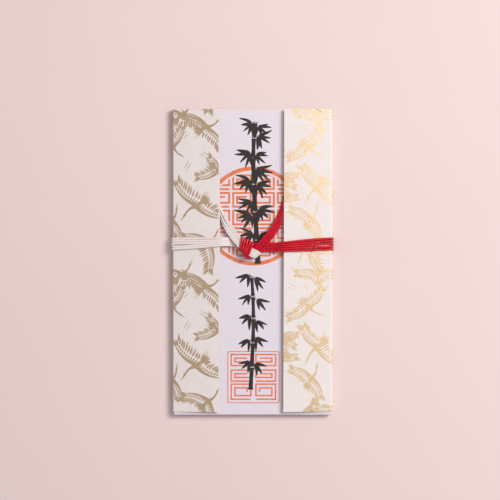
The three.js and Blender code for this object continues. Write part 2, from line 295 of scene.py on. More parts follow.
def cord(name, ribbon, index, material, closeness, widest):
    """One cord as a tube, with the length along it and its turn kept for the twist. Where the
    ribbon spreads, a cord is pressed flatter and so comes near its neighbours."""
    points = strand_points(ribbon, index)
    bm = bmesh.new()
    twist = bm.verts.layers.float_vector.new("twist")
    along, last_rim = 0, []
    for count, (point, step) in enumerate(points):
        ahead, behind = points[min(count + 1, len(points) - 1)][0], points[max(count - 1, 0)][0]
        ahead = (ahead - behind).normalized()
        across = step - ahead * step.dot(ahead)
        half_width = min(max(across.length * closeness, NARROWEST_CORD), widest) / 2
        across.normalize()
        along += (point - points[count - 1][0]).length if count else 0
        turn = Matrix((across, ahead.cross(across), ahead)).transposed().to_4x4()
        pressed = Matrix.Diagonal((half_width / CORD_RADIUS, 1, 1, 1))
        place = Matrix.Translation(point * MM) @ turn @ pressed
        end = count in (0, len(points) - 1)
        ring = bmesh.ops.create_circle(bm, cap_ends=end, segments=CORD_SIDES,
                                       radius=CORD_RADIUS * MM, matrix=place)["verts"]
        for v in ring:
            local = place.inverted() @ v.co / (CORD_RADIUS * MM)
            v[twist] = (along, local.x, local.y)
        rim = list({e for v in ring for e in v.link_edges})
        if last_rim:
            bmesh.ops.bridge_loops(bm, edges=last_rim + rim)
        last_rim = rim
    bmesh.ops.recalc_face_normals(bm, faces=bm.faces)
    return piece(name, bm, material)


def worked(tree, operation, *values):
    """A sum on masks and numbers."""
    return node(tree, "ShaderNodeMath", dict(enumerate(values)), operation=operation).outputs[0]


def shared_marks(name, inputs, outputs):
    """The tree of marks that several finishes share, and the sockets where its inputs come in."""
    tree = bpy.data.node_groups.new(name, "ShaderNodeTree")
    for socket, kind in inputs.items():
        tree.interface.new_socket(socket, in_out="INPUT", socket_type=kind)
    for socket in outputs:
        tree.interface.new_socket(socket, in_out="OUTPUT", socket_type="NodeSocketFloat")
    return tree, node(tree, "NodeGroupInput", {}).outputs


# What twisted paper cord shows close up: one shallow groove that winds round it, with painted shade
# in it, slightly uneven dye and polish along its length, and painted shade along the sides where
# neighbouring cords meet.
TWIST_PITCH, MOTTLE_STRETCH = 2.3, (0.5, 1.2, 1.2)
twist_and_shade_marks, given = shared_marks(
    "twist_and_shade_marks", {"Twist": "NodeSocketVector", "Pitch": "NodeSocketFloat"},
    ("Groove", "Mottle", "Seam"))
part = node(twist_and_shade_marks, "ShaderNodeSeparateXYZ", {0: given["Twist"]}).outputs
turns = worked(twist_and_shade_marks, "DIVIDE", part["X"], given["Pitch"])
angle = worked(twist_and_shade_marks, "MULTIPLY", turns, math.tau)
first = worked(twist_and_shade_marks, "MULTIPLY", worked(twist_and_shade_marks, "SINE", angle), part["Y"])
wave = worked(twist_and_shade_marks, "MULTIPLY_ADD", worked(twist_and_shade_marks, "COSINE", angle), part["Z"], first)
stretched = node(twist_and_shade_marks, "ShaderNodeVectorMath", {0: given["Twist"], 1: MOTTLE_STRETCH},
                 operation="MULTIPLY").outputs[0]
# Groove marks the winding groove, for its relief and its painted shade; Seam marks the cord's
# sides, where the painted shade between neighbouring cords goes.
node(twist_and_shade_marks, "NodeGroupOutput", {
    "Groove": ranged(twist_and_shade_marks, wave, (0.7, 1), (1, 0), interpolation_type="SMOOTHSTEP"),
    "Mottle": clouds(twist_and_shade_marks, stretched, scale=1, detail=3),
    "Seam": ranged(twist_and_shade_marks, worked(twist_and_shade_marks, "ABSOLUTE", part["Y"]), (0.62, 0.95))})


def cord_finish(name, pale, deep_dye_and_shade, seam_shade, roughness):
    """Dyed paper cord, deeper where the dye took more, with painted shade in its groove and along
    its sides where it meets its neighbours.
    """
    material, tree, shader = finish_named(name)
    winding = node(tree, "ShaderNodeAttribute", {}, attribute_name="twist").outputs["Vector"]
    marks = node(tree, "ShaderNodeGroup", {"Twist": winding, "Pitch": TWIST_PITCH},
                 node_tree=twist_and_shade_marks).outputs
    # painted shade: the winding groove is darkened to the deep colour, over the dye's own mottle
    dyed_and_groove_shaded = mixed(tree, marks["Groove"], deep_dye_and_shade, mixed(tree, marks["Mottle"], deep_dye_and_shade, pale))
    feed(tree, shader, {
        # painted shade: the cord's sides, where it meets its neighbours, are darkened to the seam
        # colour
        "Base Color": mixed(tree, marks["Seam"], dyed_and_groove_shaded, seam_shade),
        "Roughness": ranged(tree, marks["Mottle"], target=(roughness + 0.12, roughness - 0.08)),
        "Normal": relief(tree, marks["Groove"], strength=0.35, depth=0.05)})
    return material


# each cord's third colour is painted shade for its sides, between neighbouring cords
white_cord_material = cord_finish("white_cord_paper", pale=colour(247, 237, 232), deep_dye_and_shade=colour(234, 221, 215),
                        seam_shade=colour(196, 182, 176), roughness=0.42)
red_cord_material = cord_finish("red_cord_paper", pale=colour(242, 0, 42), deep_dye_and_shade=colour(200, 0, 30),
                      seam_shade=colour(84, 0, 12), roughness=0.22)
for index in range(STRAND_COUNT):
    for half, ribbon, strand_material, closeness, widest in (("white", WHITE_RIBBON, white_cord_material, 1.2, 1.55),
                                                 ("red", RED_RIBBON, red_cord_material, 1.02, 1.46)):
        strand = cord(f"{half}_cord_{index + 1}", ribbon, index, strand_material, closeness, widest)
        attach(strand, "mizuhiki")
        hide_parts(f"{half}_strand_{index + 1}")

# The washi wrapper: one cut sheet of thick soft paper, folded round the packet into a back, two
# rounded side folds and two front flaps whose free edges stand over the tucked cord ends. It is
# shown as a flat cut sheet that is bent along its folds, and the gold pattern is bent with it.
WRAPPER_TOP_Y, WRAPPER_BOTTOM_Y = 91.15, -89.25
LEFT_FLAP_EDGE_X, RIGHT_FLAP_TOP_X, RIGHT_FLAP_BOTTOM_X = -19.42, 18.93, 18.33
FOLD_RADIUS, FOLD_STEPS = 0.9, 8
CUT_TOLERANCE = 1e-7


def step_along(place, angle, bend, length):
    """Where a leg of a folded sheet leads from a place, and its angle there."""
    if not bend:
        return place + Vector((math.cos(angle), math.sin(angle))) * length, angle
    later = angle + bend * length
    chord = Vector((math.sin(later) - math.sin(angle), math.cos(angle) - math.cos(later)))
    return place + chord * (1 / bend), later


def folded(start, heading, legs):
    """The way a sheet's outer face runs, in its plane of folding: straight legs (length, 0) and
    turns (length, degrees). It gives the place and the outward direction at a distance along."""
    walk = [(0, Vector(start), math.radians(heading), 0)]
    for length, turn in legs:
        distance, place, angle, _ = walk[-1]
        bend = math.radians(turn) / length
        walk[-1] = (distance, place, angle, bend)
        walk.append((distance + length, *step_along(place, angle, bend, length), 0))

    def at(distance):
        leg = walk[0]
        for later in walk[1:-1]:
            if distance > later[0]:
                leg = later
        place, angle = step_along(leg[1], leg[2], leg[3], distance - leg[0])
        return place, Vector((-math.sin(angle), math.cos(angle)))
    return at, [w[0] for w in walk]


def cut_sheet(left, right, low, top):
    """A flat rectangle of paper."""
    bm = bmesh.new()
    for v in bmesh.ops.create_grid(bm, x_segments=1, y_segments=1, size=0.5)["verts"]:
        v.co = (right if v.co.x > 0 else left, top if v.co.y > 0 else low, 0)
    return bm


def scored(bm, legs, stops, zero=0):
    """Scores flat shapes along their folds, so that they can bend there."""
    for (length, turn), begin in zip(legs, stops):
        for step in range(FOLD_STEPS + 1 if turn else 0):
            line = (begin + length * step / FOLD_STEPS - zero, 0, 0)
            bmesh.ops.bisect_plane(bm, geom=[*bm.verts, *bm.edges, *bm.faces], dist=CUT_TOLERANCE,
                                   plane_co=line, plane_no=(1, 0, 0))


def trimmed(bm, place, outwards):
    """Cuts off what lies past a straight line."""
    bmesh.ops.bisect_plane(bm, geom=[*bm.verts, *bm.edges, *bm.faces], dist=CUT_TOLERANCE,
                           plane_co=place, plane_no=outwards, clear_outer=True)


def bent(bm, at, zero=0, lift=0, end_fold=False):
    """Bends flat shapes, in millimetres, to the folded sheet, a little way out from its face. An
    end fold turns round the packet's lower edge and not round its sides."""
    for v in bm.verts:
        place, outwards = at(v.co.x + zero)
        place += outwards * (lift + v.co.z)
        ends = (v.co.y, -place.x) if end_fold else (place.x, v.co.y)
        v.co = (ends[0] * MM, ends[1] * MM, place.y * MM)


slope_sine, slope_cosine = math.sin(FLAP_SLOPE), math.cos(FLAP_SLOPE)
arc_centre_x = WRAPPER_EDGE_X - FOLD_RADIUS
root_x = FLAP_ROOT_X + FLAP_PAPER * slope_sine
root_z = FLAP_ROOT_Z + FLAP_PAPER * slope_cosine
upper_arc_z = root_z - (FOLD_RADIUS - (root_x - arc_centre_x) * slope_sine) / slope_cosine
lower_arc_z = WRAPPER_BACK_Z + FOLD_RADIUS
flap_start_x = arc_centre_x + FOLD_RADIUS * slope_sine
right_leg = (flap_start_x - RIGHT_FLAP_BOTTOM_X) / slope_cosine
left_leg = (flap_start_x + LEFT_FLAP_EDGE_X) / slope_cosine
upper_arc = (FOLD_RADIUS * (math.pi / 2 - FLAP_SLOPE), math.degrees(FLAP_SLOPE) - 90)
lower_arc = (FOLD_RADIUS * math.pi / 2, -90)
fold_wall = (upper_arc_z - lower_arc_z, 0)
WRAPPER_LEGS = [(right_leg, 0), upper_arc, fold_wall, lower_arc, (2 * arc_centre_x, 0), lower_arc,
                fold_wall, upper_arc, (left_leg, 0)]
free_edge_z = upper_arc_z + FOLD_RADIUS * slope_cosine + right_leg * slope_sine
wrapper_at, wrapper_stops = folded((RIGHT_FLAP_BOTTOM_X, free_edge_z), -math.degrees(FLAP_SLOPE),
                                   WRAPPER_LEGS)
back_middle = (wrapper_stops[4] + wrapper_stops[5]) / 2
flat_end = wrapper_stops[-1] - back_middle

# Handmade-looking paper as all the sheets here show it: fine curly fibres in the pulp, a cloudy
# formation seen against the light, and a felt-like tooth.
FIBRE_HEIGHT, FIBRE_SHOWN = 0.6, 0.6
paper_pulp, given = shared_marks(
    "paper_pulp", {"Vector": "NodeSocketVector", "Fibre Scale": "NodeSocketFloat"},
    ("Fibre", "Cloud", "Height"))
fibres = []
for turn, stretch in ((0.4, 2.6), (1.9, 2.1), (2.7, 3)):
    turned = node(paper_pulp, "ShaderNodeMapping", {
        "Vector": given["Vector"], "Rotation": (0, 0, turn), "Location": (turn, 0, 0),
        "Scale": (1, stretch, 1)}).outputs[0]
    curl = clouds(paper_pulp, turned, given["Fibre Scale"], detail=1.5, distortion=0.5)
    ridge = worked(paper_pulp, "ABSOLUTE", worked(paper_pulp, "SUBTRACT", curl, 0.5))
    line = ranged(paper_pulp, ridge, (0, 0.012), (1, 0))
    kept = ranged(paper_pulp, clouds(paper_pulp, turned, scale=420, detail=1), (0.5, 0.6))
    fibres.append(worked(paper_pulp, "MULTIPLY", line, kept))
pair = worked(paper_pulp, "MAXIMUM", fibres[0], fibres[1])
fibre = worked(paper_pulp, "MAXIMUM", pair, fibres[2])
tooth = clouds(paper_pulp, given["Vector"], scale=3200, detail=3)
node(paper_pulp, "NodeGroupOutput", {
    "Fibre": fibre, "Cloud": clouds(paper_pulp, given["Vector"], scale=160, detail=5),
    "Height": worked(paper_pulp, "MULTIPLY_ADD", fibre, FIBRE_HEIGHT, tooth)})


def paper_finish(name, pale, shade, fibre, fibre_scale, roughness, tooth):
    """Paper, cloudy between two tints, with the fibres of its pulp in a third."""
    material, tree, shader = finish_named(name)
    pulp = node(tree, "ShaderNodeGroup", {"Vector": place_on(tree), "Fibre Scale": fibre_scale},
                node_tree=paper_pulp).outputs
    formed = mixed(tree, pulp["Cloud"], shade, pale)
    shown = worked(tree, "MULTIPLY", pulp["Fibre"], FIBRE_SHOWN)
    feed(tree, shader, {
        "Base Color": mixed(tree, shown, formed, fibre),
        "Roughness": ranged(tree, pulp["Cloud"], target=(roughness - 0.08, roughness + 0.08)),
        "Normal": relief(tree, pulp["Height"], strength=tooth, depth=0.04)})
    return material


washi = paper_finish("washi_paper", pale=colour(243, 235, 230), shade=colour(233, 223, 218),
                     fibre=colour(250, 246, 241), fibre_scale=260, roughness=0.72, tooth=0.5)
bm = cut_sheet(-back_middle, flat_end, WRAPPER_BOTTOM_Y, WRAPPER_TOP_Y)
for v in bm.verts:  # the right flap's free edge is cut a little slanting
    if v.co.x < 0 and v.co.y > 0:
        v.co.x = (RIGHT_FLAP_TOP_X - RIGHT_FLAP_BOTTOM_X) / slope_cosine - back_middle
scored(bm, WRAPPER_LEGS, wrapper_stops, back_middle)
bent(bm, wrapper_at, back_middle)
wrapper_sheet = piece("wrapper_sheet", bm, washi, thickness=FLAP_PAPER)
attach(wrapper_sheet, "wrapper")
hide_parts("wrapper_back", "wrapper_left_fold", "wrapper_right_fold",
            "wrapper_left_flap", "wrapper_right_flap")

# The wrapper's pattern: flying cranes, the old good-luck pattern for such papers, stamped in thin
# lacquered gold foil on the outside. Each crane is cut as separate feathers with paper between.
# They are laid out on the flat sheet, trimmed at its edges and bent round the folds with it.
STROKE_STEP, STROKE_LEVELS, MITRE_LIMIT = 0.0006, 22, 0.5
BLADE_FULLNESS, BLADE_TAPER = 1.4, 0.85
FOIL_LIFT, FOIL_THICKNESS, PLAIN_MARGIN, CUT_MARGIN = 0.024, 0.012, 0.8, 0.05
WING_EDGE_WIDTHS, WING_SAG = (2.3, 2.1, 1.8, 1.5, 1.3, 1.15, 1, 0.8, 0.5), 0.1
FEATHER_PITCH, SHORT_FEATHER, SHORT_WIDTH, SHORT_LEAN = 1.42, 1.9, 0.95, (0.15, 0.55)
LONG_FEATHER, LONG_SWELL, USUAL_WING, LONG_CHANCE = 2.9, 1.9, 14, (0.78, 1.18)
LONG_START, LONG_WIDTH, LONG_BOW = (2, 2.5), (0.95, 1.3), 0.3
LONG_LEAN, LEAN_STRAY = (0.3, 0.6), 0.14
TIP_FEATHERS, TIP_LENGTH, TIP_SHORTENING, TIP_WIDTH, TIP_BOW = 4, 4.8, 0.5, 0.98, 0.2
NECK_WIDTHS, LEG_WIDTHS = (2.3, 1.9, 1.45, 1.2, 1.05, 1, 0.95), (0.3, 0.28, 0.18)
CRANE_REACH = 16
MIST_GAP, MIST_SLIP, MIST_WIDTHS = 1.9, 0.8, (0.2, 0.42, 0.2)


def level(bm):
    """The height of the next stroke: a hair over the last one, so that no two share a face."""
    return STROKE_STEP * (1 + len(bm.faces) % STROKE_LEVELS)


def blade(bm, root, tip, width, bow=0, segments=8):
    """A feather or a leaf: broad at its root, pointed at its tip and bowed to one side."""
    root, tip, height = Vector(root), Vector(tip), level(bm)
    across = Vector((root.y - tip.y, tip.x - root.x)).normalized()
    for v in bmesh.ops.create_circle(bm, cap_ends=True, segments=segments, radius=1)["verts"]:
        share = (v.co.x + 1) / 2
        side = v.co.y * width / 2 * (BLADE_FULLNESS - BLADE_TAPER * share)
        side += 4 * bow * share * (1 - share)
        v.co = (*(root.lerp(tip, share) + across * side), height)


def brush(bm, points, widths):
    """A drawn line whose width changes from point to point, with mitred corners."""
    points, height = [Vector(p) for p in points], level(bm)
    pair = [bm.verts.new((0, 0, 0)), bm.verts.new((0, 0, 0))]
    edge = bm.edges.new(pair)
    for number, (point, width) in enumerate(zip(points, widths)):
        come = (point - points[number - 1]).normalized() if number else None
        go = (points[number + 1] - point).normalized() if number + 1 < len(points) else come
        come = come or go
        heading = (come + go).normalized()
        across = Vector((-heading.y, heading.x)) * width / 2 / max(heading.dot(go), MITRE_LIMIT)
        if number:
            grown = bmesh.ops.extrude_edge_only(bm, edges=[edge])["geom"]
            edge = next(g for g in grown if isinstance(g, bmesh.types.BMEdge) and not
                        any(v in pair for v in g.verts))
            old = pair
            pair = sorted(edge.verts,
                          key=lambda v: any(e.other_vert(v) == old[1] for e in v.link_edges))
        pair[0].co, pair[1].co = (*(point - across), height), (*(point + across), height)


def arc(start, middle, end, steps=6):
    """Points of one smooth bend that leaves start towards middle and comes in to end from it."""
    start, middle, end = Vector(start), Vector(middle), Vector(end)
    shares = [step / steps for step in range(steps + 1)]
    return [start.lerp(middle, t).lerp(middle.lerp(end, t), t) for t in shares]


def bearing(degrees):
    """The direction at an angle on the sheet."""
    return Vector((math.cos(math.radians(degrees)), math.sin(math.radians(degrees))))


feather_chance = random.Random(7).uniform


def wing(bm, shoulder, angle, length):
    """A spread wing: its strong front edge, a row of short feathers and a row of long ones behind
    it, all leaning to the tip and no two alike, and the parted feathers of the tip."""
    out = bearing(angle)
    turn = 1 if out.y > 0 else -1
    behind = Vector((-out.y, out.x)) * turn

    def on_front(share):
        return (Vector(shoulder) + out * length * share
                - behind * length * WING_SAG * math.sin(math.pi * share))
    last = len(WING_EDGE_WIDTHS) - 1
    brush(bm, [on_front(t / last) for t in range(last + 1)], WING_EDGE_WIDTHS)
    count = round(length / FEATHER_PITCH)
    for number in range(count):
        share = (number + 0.4) / count
        root = on_front(share) + behind
        lean = (behind + out * (SHORT_LEAN[0] + SHORT_LEAN[1] * share)).normalized()
        blade(bm, root, root + lean * SHORT_FEATHER, SHORT_WIDTH)
        stray = LONG_LEAN[0] + LONG_LEAN[1] * share + feather_chance(-LEAN_STRAY, LEAN_STRAY)
        far = (behind + out * stray).normalized()
        swell = LONG_SWELL * math.sin(math.pi * (0.1 + 0.75 * share))
        reach = (LONG_FEATHER + swell) * length / USUAL_WING * feather_chance(*LONG_CHANCE)
        start = root + lean * feather_chance(*LONG_START)
        blade(bm, start, start + far * reach, feather_chance(*LONG_WIDTH), bow=LONG_BOW * turn)
    for number in range(TIP_FEATHERS):
        tip = (out * (1.4 - 0.3 * number) + behind * (0.1 + 0.45 * number)).normalized()
        end = on_front(1) + tip * (TIP_LENGTH - TIP_SHORTENING * number)
        blade(bm, on_front(0.97) + tip * 0.6, end, TIP_WIDTH, bow=TIP_BOW * turn)


def crane(x, y, heading, wings, size):
    """A crane in flight towards its heading: its body, fanned tail, neck, head, beak, trailing legs
    and wings. A wing is given by its angle on the sheet and its length. Each crane lies at a height
    of its own, by a hair, so that no two share a face."""
    bm = bmesh.new()
    blade(bm, (3, 0.3), (-4.6, 0), width=2.3)
    rump = Vector((-2.9, 0))
    for number in range(-3, 4):
        out = bearing(180 + 15 * number)
        blade(bm, rump + out * 0.9, rump + out * (5.6 - 0.4 * abs(number)), width=1.05)
    brush(bm, arc((1.4, 0.2), (4.9, -0.9), (8.2, 1)), NECK_WIDTHS)
    blade(bm, (7.6, 0.7), (10.2, 1.9), width=1.3)
    brush(bm, [(9.2, 1.5), (10.6, 2.1), (12.4, 2.6)], widths=(0.7, 0.5, 0.12))
    brush(bm, [(-3, -0.9), (-6, -2), (-9.4, -2.7)], LEG_WIDTHS)
    brush(bm, [(-3, -1.4), (-5.6, -2.7), (-8.6, -3.7)], LEG_WIDTHS)
    for angle, length in wings:
        side = 1 if math.sin(math.radians(angle - heading)) > 0 else -1
        wing(bm, (0.9, side * 0.7), angle - heading, length / size)
    place = Matrix.Rotation(math.radians(heading), 4, "Z") @ Matrix.Diagonal((size, size, 1, 1))
    middle = Matrix.Translation((x, y, STROKE_STEP * (y % 1)))
    bmesh.ops.transform(bm, matrix=middle @ place, verts=bm.verts)
    return bm


def mist(x, y, angle, length):
    """Two short thin lines side by side, as drifting mist."""
    bm = bmesh.new()
    out = bearing(angle)
    for number in range(2):
        aside = Vector((-out.y, out.x)) * MIST_GAP * number
        start = Vector((x, y)) + aside + out * MIST_SLIP * number
        brush(bm, [start, start + out * length / 2, start + out * length], MIST_WIDTHS)
    return bm


def gathered(shapes):
    """Many small flat drawings as one."""
    whole, carrier = bmesh.new(), bpy.data.meshes.new("carrier")
    for shape in shapes:
        shape.to_mesh(carrier)
        shape.free()
        whole.from_mesh(carrier)
    bpy.data.meshes.remove(carrier)
    return whole


# A crane is given by its place, heading, two wings and size. Mist is given by its place, angle and
# length.
PATTERN_REPEAT = 95.06
LEFT_FLAP_CRANES = (
    (-42.6, 87, 42, ((168, 12), (-22, 13)), 0.95), (-27.7, 79.8, 23, ((146, 14), (-47, 13)), 0.95),
    (-47.6, 69.4, -58, ((58, 11), (208, 12)), 0.85),
    (-20.6, 54.6, -42, ((203, 12), (118, 9)), 0.85), (-33, 34, 212, ((137, 16), (-27, 15)), 1.1),
    (-48.2, 24.2, 60, ((-62, 11), (150, 10)), 0.9), (-26.6, 11.6, 40, ((163, 14), (-84, 16)), 0.95),
)
RIGHT_FLAP_CRANES = (
    (38.8, 87.6, 92, ((170, 11), (8, 11)), 0.9), (33.4, 68.5, -42, ((47, 12), (214, 12.5)), 0.9),
    (17.2, 50.2, 170, ((14, 9), (-40, 9)), 0.8), (16.8, 38, 200, ((-4, 9), (80, 9)), 0.8),
    (38.8, 44.6, 222, ((133, 13), (-44, 13)), 1.05), (35, 25.2, 58, ((148, 12), (-60, 11)), 0.9),
    (33.6, 8.6, 222, ((-70, 13), (-12, 12)), 0.95),
)
LEFT_FLAP_MIST = ((-41, 73.5, 48, 4), (-31.6, 64.5, -30, 4.5), (-39.5, 53.6, 62, 6))
RIGHT_FLAP_MIST = ((20.8, 80.2, -20, 3.5), (32, 78.2, 62, 4), (19.6, 62, 68, 5))
BACK_COLUMNS, BACK_ROWS, BACK_WIDTH, BACK_STAGGER, BACK_CRANE_SIZE = 3, 4, 84, (-5, 5), 0.92
BACK_HEADINGS = (25, 48, 155, 205, 222, -35, -55)
back_chance = random.Random(5)
back_cranes = []
for row in range(BACK_ROWS):
    for column in range(BACK_COLUMNS):
        stray = back_chance.uniform
        x = (column - 1) * BACK_WIDTH / BACK_COLUMNS + BACK_STAGGER[row % 2] + stray(-2.5, 2.5)
        y = WRAPPER_TOP_Y - (row + 0.5 + stray(-0.12, 0.12)) * PATTERN_REPEAT / BACK_ROWS
        heading = back_chance.choice(BACK_HEADINGS) + stray(-8, 8)
        spread = stray(95, 125)
        wings = ((heading + spread, stray(11, 13)), (heading - spread + 10, stray(10, 12.5)))
        back_cranes.append((x, y, heading, wings, BACK_CRANE_SIZE))
flap_shift = back_middle - wrapper_stops[1] + flap_start_x
shapes = []
for repeat in range(-1, 3):
    drop = PATTERN_REPEAT * repeat
    for cranes, mists, shift in ((LEFT_FLAP_CRANES, LEFT_FLAP_MIST, flap_shift),
                                 (back_cranes, (), 0),
                                 (RIGHT_FLAP_CRANES, RIGHT_FLAP_MIST, -flap_shift)):
        shapes += [crane(x + shift, y - drop, heading, wings, size)
                   for x, y, heading, wings, size in cranes
                   if WRAPPER_BOTTOM_Y - CRANE_REACH < y - drop < WRAPPER_TOP_Y + CRANE_REACH]
        shapes += [mist(x + shift, y - drop, angle, length) for x, y, angle, length in mists
                   if WRAPPER_BOTTOM_Y < y - drop < WRAPPER_TOP_Y]
bm = gathered(shapes)
trimmed(bm, (0, WRAPPER_TOP_Y - CUT_MARGIN, 0), (0, 1, 0))
trimmed(bm, (0, WRAPPER_BOTTOM_Y + CUT_MARGIN, 0), (0, -1, 0))
trimmed(bm, (flat_end - PLAIN_MARGIN, 0, 0), (1, 0, 0))
slant = (RIGHT_FLAP_TOP_X - RIGHT_FLAP_BOTTOM_X) / (WRAPPER_TOP_Y - WRAPPER_BOTTOM_Y)
trimmed(bm, (CUT_MARGIN - back_middle, WRAPPER_BOTTOM_Y, 0), (-1, slant, 0))
scored(bm, WRAPPER_LEGS, wrapper_stops, back_middle)
bent(bm, wrapper_at, back_middle, FOIL_LIFT)

gold, tree, shader = finish_named("stamped_gold_foil")
spot = place_on(tree)
wear = clouds(tree, spot, scale=900, detail=4)
press = clouds(tree, spot, scale=1500, detail=2)
feed(tree, shader, {
    "Base Color": mixed(tree, wear, colour(218, 161, 90), colour(255, 239, 190)), "Metallic": 1,
    "Roughness": ranged(tree, wear, (0.3, 0.7), (0.43, 0.3)),
    "Normal": relief(tree, press, strength=0.35, depth=0.06),
    "Coat Weight": 1, "Coat IOR": 2.5, "Coat Roughness": 0.14})
foil = piece("gold_foil_cranes", bm, gold, thickness=FOIL_THICKNESS)
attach(foil, "wrapper")

# The packet: one plain smooth sheet, folded into a flat tube whose back leaves overlap, with its
# lower end turned up over the back and glued.
PACKET_EDGE_X, PACKET_TOP_Y, PACKET_LOW_Y, PACKET_PAPER = 46.7, 90.55, -91.15, 0.18
PACKET_FOLD_RADIUS, END_FOLD_LEAD = 0.6, 0.15
LEFT_LEAF_Z, RIGHT_LEAF_Z, LEAF_REACH = 2.24, 2.01, 7
END_FLAP_Z, END_FLAP_TOP_Y, END_FLAP_TAPER = 1.78, -71.92, 5
packet_white = paper_finish("packet_paper", pale=colour(235, 227, 234), shade=colour(229, 220, 228),
                            fibre=colour(242, 236, 240), fibre_scale=320, roughness=0.6, tooth=0.25)
turn = (PACKET_FOLD_RADIUS * math.pi / 2, -90)
wide = PACKET_EDGE_X - PACKET_FOLD_RADIUS
left_wall, right_wall, end_wall = (
    (STRIP_Z - z - 2 * PACKET_FOLD_RADIUS, 0) for z in (LEFT_LEAF_Z, RIGHT_LEAF_Z, END_FLAP_Z))
TUBE_LEGS = [(wide + LEAF_REACH, 0), turn, left_wall, turn, (2 * wide, 0), turn, right_wall, turn,
             (wide + LEAF_REACH, 0)]
tube_at, tube_stops = folded((LEAF_REACH, LEFT_LEAF_Z), 180, TUBE_LEGS)
front_low_y = PACKET_LOW_Y + PACKET_FOLD_RADIUS + END_FOLD_LEAD
bm = cut_sheet(0, tube_stops[-1], front_low_y, PACKET_TOP_Y)
scored(bm, TUBE_LEGS, tube_stops)
bent(bm, tube_at)
tube = piece("packet_tube", bm, packet_white, thickness=PACKET_PAPER)
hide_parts("packet_front", "packet_back_left", "packet_back_right", "packet_left_fold",
            "packet_right_fold")
END_LEGS = [(END_FOLD_LEAD, 0), turn, end_wall, turn,
            (END_FLAP_TOP_Y - PACKET_LOW_Y - PACKET_FOLD_RADIUS, 0)]
end_at, end_stops = folded((-front_low_y, STRIP_Z), 0, END_LEGS)
bm = cut_sheet(0, end_stops[-1], -PACKET_EDGE_X, PACKET_EDGE_X)
free_corners = [v for v in bm.verts if v.co.x > 0]
scored(bm, END_LEGS, end_stops)
for v in free_corners:
    v.co.y = math.copysign(PACKET_EDGE_X - END_FLAP_TAPER, v.co.y)
bent(bm, end_at, end_fold=True)
end_flap = piece("packet_end_flap", bm, packet_white, thickness=PACKET_PAPER)
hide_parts("packet_bottom_fold", "packet_bottom_flap")
for made in (tube, end_flap):
    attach(made, "packet")

# What is printed on the packet's front. The two seals are stamped in vermilion ink, one round and
# one square, and are filled with a plain key fret. The brush painting in black ink over them is a
# stem of bamboo above and another below.
MARK_THICKNESS, SEAL_LIFT, INK_LIFT = 0.006, 0.007, 0.022
ROUND_SEAL, ROUND_SEAL_RADIUS, ROUND_SEAL_BORDER, ROUND_SIDES = (0.6, 27.4), 29.5, 2.3, 96
ROUND_KEYS, ROUND_KEY_HEIGHT = ((1.7, 10.4), (14.5, 12.4)), 8.2
ROUND_ROWS, ROUND_FIRST_ROW, ROUND_ROW_STEP = 5, -26, 10.5
FILL_GAP, FILL_SIDES = 1.1, 48
SQUARE_SEAL, SQUARE_SEAL_SIDE = (0.55, -68.65), 31.1
SQUARE_SEAL_BORDER, SQUARE_SEAL_CORNER = 0.55, 1.6
SQUARE_ROWS, SQUARE_KEY_X, SQUARE_KEY_WIDTH = ((-13.2, 9), (-2.4, 6.6), (6.9, 6.6)), 1.5, 11.7
SEALS_LOW_Y, SEALS_TOP_Y = -85, 57


def fret(bm, corner, size, line, pitch, mirror):
    """One key of the fret: a line that runs round its cell and inwards to the middle."""
    left, low, right, top = 0, 0, *size
    path = [(left, low)]
    tightest = pitch * 0.6
    while right - left > tightest and top - low > tightest:
        path += [(right, low), (right, top), (left, top)]
        low += pitch
        if top - low < tightest:
            break
        path.append((left, low))
        left, right, top = left + pitch, right - pitch, top - pitch
    brush(bm, [(corner[0] + mirror * x, corner[1] + y) for x, y in path], [line] * len(path))


def printed(name, bm, lift, material):
    """Lays flat drawings on the packet's front."""
    for v in bm.verts:
        v.co = (v.co.x * MM, v.co.y * MM, (STRIP_Z + lift + v.co.z) * MM)
    bmesh.ops.recalc_face_normals(bm, faces=bm.faces)
    bmesh.ops.reverse_faces(bm, faces=[f for f in bm.faces if f.normal.z < 0])
    made = piece(name, bm, material, thickness=MARK_THICKNESS)
    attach(made, "packet")


round_ink = bmesh.new()
for row in range(ROUND_ROWS):
    for side in (-1, 1):
        low = ROUND_SEAL[1] + ROUND_FIRST_ROW + row * ROUND_ROW_STEP
        for offset, width in ROUND_KEYS:
            fret(round_ink, (ROUND_SEAL[0] + side * offset, low), (width, ROUND_KEY_HEIGHT),
                 line=1.2, pitch=2.35, mirror=side)
inner_radius = ROUND_SEAL_RADIUS - ROUND_SEAL_BORDER
for number in range(FILL_SIDES):
    out = bearing(360 * number / FILL_SIDES)
    trimmed(round_ink, (*(Vector(ROUND_SEAL) + out * (inner_radius - FILL_GAP)), 0), (*out, 0))
rims = []
for radius in (inner_radius, ROUND_SEAL_RADIUS):
    ring = bmesh.ops.create_circle(round_ink, segments=ROUND_SIDES, radius=radius,
                                   matrix=Matrix.Translation((*ROUND_SEAL, 0)))["verts"]
    rims += list({e for v in ring for e in v.link_edges})
bmesh.ops.bridge_loops(round_ink, edges=rims)

square_ink = bmesh.new()
corners = bmesh.ops.create_grid(square_ink, x_segments=1, y_segments=1, size=SQUARE_SEAL_SIDE / 2,
                                matrix=Matrix.Translation((*SQUARE_SEAL, 0)))["verts"]
bmesh.ops.bevel(square_ink, geom=corners, offset=SQUARE_SEAL_CORNER, offset_type="OFFSET",
                segments=6, profile=0.5, affect="VERTICES", material=-1)
inside = list(square_ink.faces)
bmesh.ops.inset_region(square_ink, faces=inside, thickness=SQUARE_SEAL_BORDER,
                       use_even_offset=True, use_boundary=True)
bmesh.ops.delete(square_ink, geom=inside, context="FACES")
for side in (-1, 1):
    for low, height in SQUARE_ROWS:
        fret(square_ink, (SQUARE_SEAL[0] + side * SQUARE_KEY_X, SQUARE_SEAL[1] + low),
             (SQUARE_KEY_WIDTH, height), line=0.95, pitch=2.2, mirror=side)

